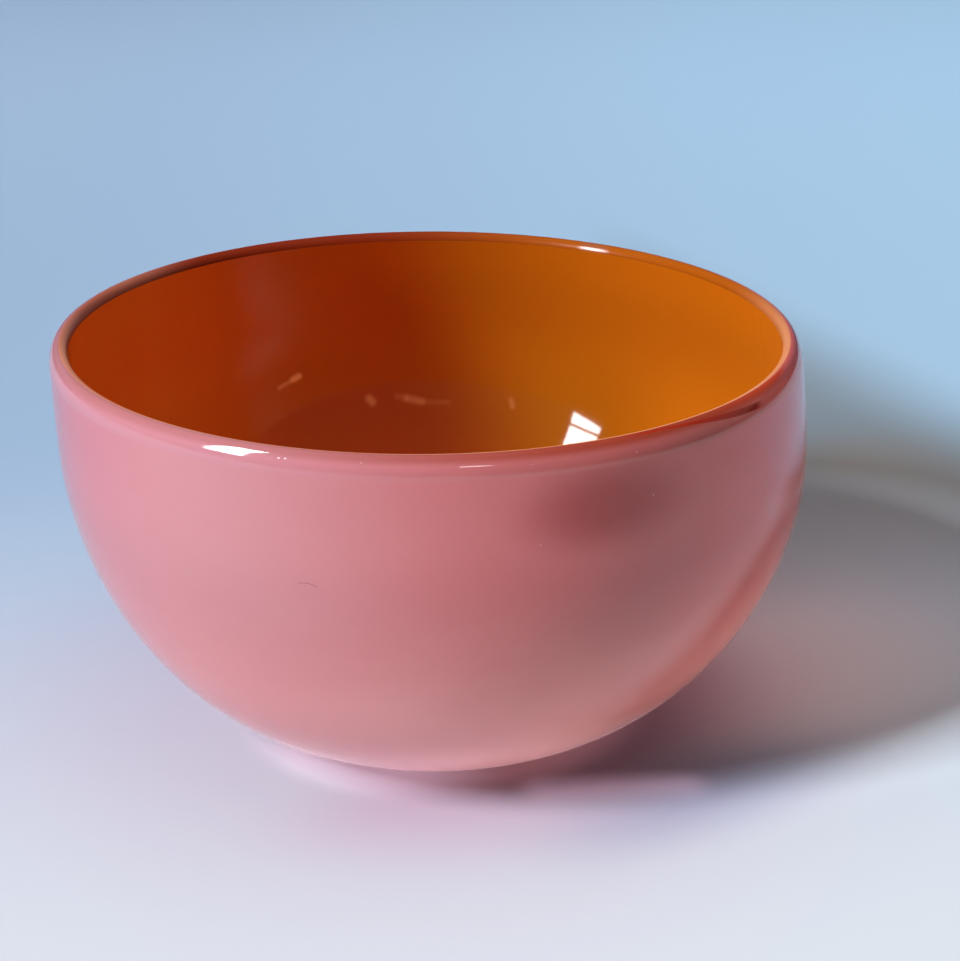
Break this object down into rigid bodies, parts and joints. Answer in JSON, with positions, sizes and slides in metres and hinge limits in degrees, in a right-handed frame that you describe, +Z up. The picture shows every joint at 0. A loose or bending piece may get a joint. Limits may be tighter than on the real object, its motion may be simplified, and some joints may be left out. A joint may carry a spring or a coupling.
{
  "type": "bowl",
  "caption": "Round deep bowl of blown cased glass, pink outside over a white core, with a glossy orange inside and a thick rounded lip.",
  "frame": {"origin": "centre of the ground flat that the bowl rests on, at the bottom of the bowl", "axes": "+Z up along the bowl's axis of symmetry, out of the mouth; X and Y are level and equal"},
  "size_m": [0.18, 0.18, 0.098],
  "materials": {
    "orange_glass": "glossy transparent orange glass over white",
    "opal_glass": "glossy opaque opal glass, warmed to peach by the orange beside it",
    "pink_glass": "glossy milky pink glass"
  },
  "bodies": {
    "root": {"orange_lining": "orange_glass", "opal_core": "opal_glass", "pink_overlay": "pink_glass"}
  },
  "joints": []
}
